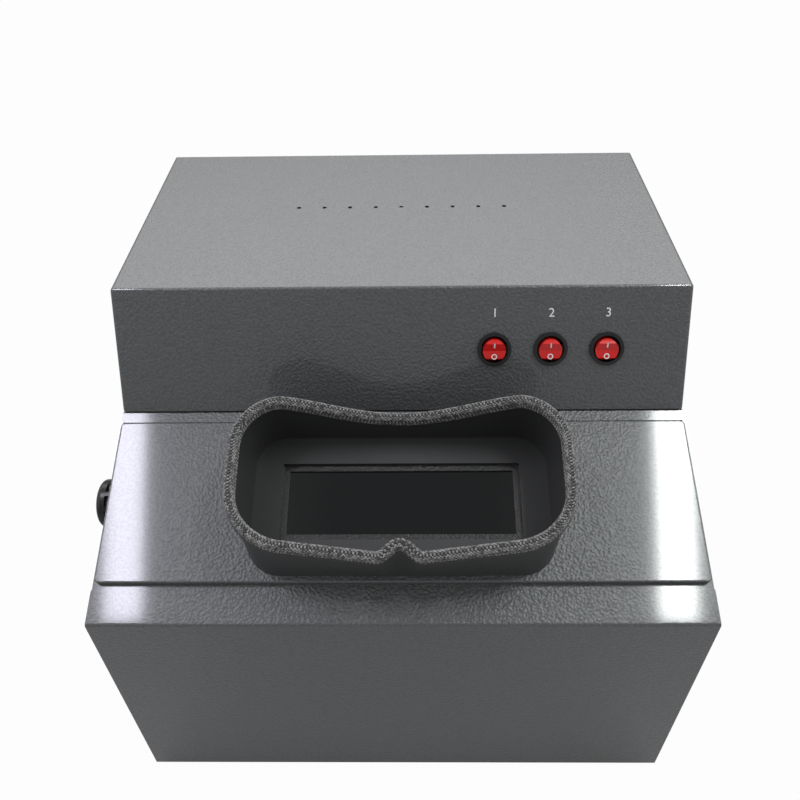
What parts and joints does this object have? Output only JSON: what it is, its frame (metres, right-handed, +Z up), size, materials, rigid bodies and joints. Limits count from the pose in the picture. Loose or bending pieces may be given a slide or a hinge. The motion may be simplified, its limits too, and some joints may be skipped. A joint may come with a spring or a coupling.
{
  "type": "ultraviolet viewing cabinet",
  "caption": "Ultraviolet viewing cabinet: a folded steel dark box with a sloped lid that carries a viewing hood, a lamp head with rocker switches and a clamp knob at the side.",
  "frame": {"origin": "middle of the whole part's footprint, knob and screw heads included, on the plane under the feet", "axes": "+X to the user's right, +Y from the front to the back, +Z up"},
  "size_m": [0.4168, 0.3782, 0.3367],
  "materials": {
    "ballast": "white",
    "black_plastic": "black",
    "board": "green board",
    "brass": "plain",
    "case_paint": "charcoal hammertone",
    "filter_glass": "deep violet",
    "foam": "soft black foam",
    "holder_plastic": "white",
    "hood_plastic": "matt black",
    "knob_plastic": "black",
    "led": "clear",
    "red_rocker": "red",
    "reflector": "bright",
    "rim_fabric": "light grey knit",
    "rubber": "black",
    "screw_steel": "plated",
    "tube_glass": "clear tube with metal caps",
    "window_glass": "dark ultraviolet-blocking",
    "zinc": "zinc plated"
  },
  "bodies": {
    "cabinet": {"casing": "case_paint", "front_cover": "case_paint", "front_screws": "screw_steel", "head_cover": "case_paint", "head_screws": "screw_steel", "lamp_pan": "zinc", "rear_panel": "case_paint", "mains_inlet": "black_plastic", "fuse_drawer": "black_plastic", "inlet_screws": "screw_steel", "hinge_bracket_left": "zinc", "hinge_bracket_right": "zinc", "hinge_pins": "screw_steel", "switch_body_1": "black_plastic", "switch_body_2": "black_plastic", "switch_body_3": "black_plastic", "lamp_254_front": "tube_glass", "lamp_254_rear": "tube_glass", "lamp_holders_254": "holder_plastic", "reflector_254": "reflector", "filter_254": "filter_glass", "filter_clip_254": "zinc", "ballast_254": "ballast", "lamp_365_front": "tube_glass", "lamp_365_rear": "tube_glass", "lamp_holders_365": "holder_plastic", "reflector_365": "reflector", "filter_365": "filter_glass", "filter_clip_365": "zinc", "ballast_365": "ballast", "led_board": "board", "white_lights": "led", "board_spacers": "black_plastic", "light_driver": "ballast", "terminal_block": "holder_plastic", "foot_front_left": "rubber", "foot_front_right": "rubber", "foot_rear_left": "rubber", "foot_rear_right": "rubber", "foot_screws": "screw_steel", "stay_bolt": "screw_steel", "stay_spacer": "screw_steel", "stay_washer": "screw_steel"},
    "lid": {"viewing_lid": "case_paint", "window_glass": "window_glass", "window_frame": "black_plastic", "hood_shell": "hood_plastic", "hood_rim": "rim_fabric", "hood_screws": "screw_steel", "lid_seal": "foam", "hinge_leaf_left": "zinc", "hinge_leaf_right": "zinc", "lid_stay": "zinc"},
    "knob": {"side_knob": "knob_plastic", "knob_insert": "brass"},
    "rocker_1": {"rocker_1": "red_rocker"},
    "rocker_2": {"rocker_2": "red_rocker"},
    "rocker_3": {"rocker_3": "red_rocker"}
  },
  "joints": [
    {"name": "lid_hinge", "type": "hinge", "parent": "cabinet", "child": "lid", "pos_m": [0.0114, -0.06592, 0.25471], "axis": [-1, 0, 0], "range_deg": [0, 55]},
    {"name": "knob_turn", "type": "hinge", "parent": "cabinet", "child": "knob", "pos_m": [-0.1849, -0.0771, 0.191], "axis": [-1, 0, 0], "range_deg": [0, 180]},
    {"name": "rocker_1_tilt", "type": "hinge", "parent": "cabinet", "child": "rocker_1", "pos_m": [0.0748, -0.02976, 0.2968], "axis": [-1, 0, 0], "range_deg": [0, 18]},
    {"name": "rocker_2_tilt", "type": "hinge", "parent": "cabinet", "child": "rocker_2", "pos_m": [0.1128, -0.02976, 0.2968], "axis": [-1, 0, 0], "range_deg": [0, 18]},
    {"name": "rocker_3_tilt", "type": "hinge", "parent": "cabinet", "child": "rocker_3", "pos_m": [0.1508, -0.02976, 0.2968], "axis": [-1, 0, 0], "range_deg": [0, 18]}
  ]
}
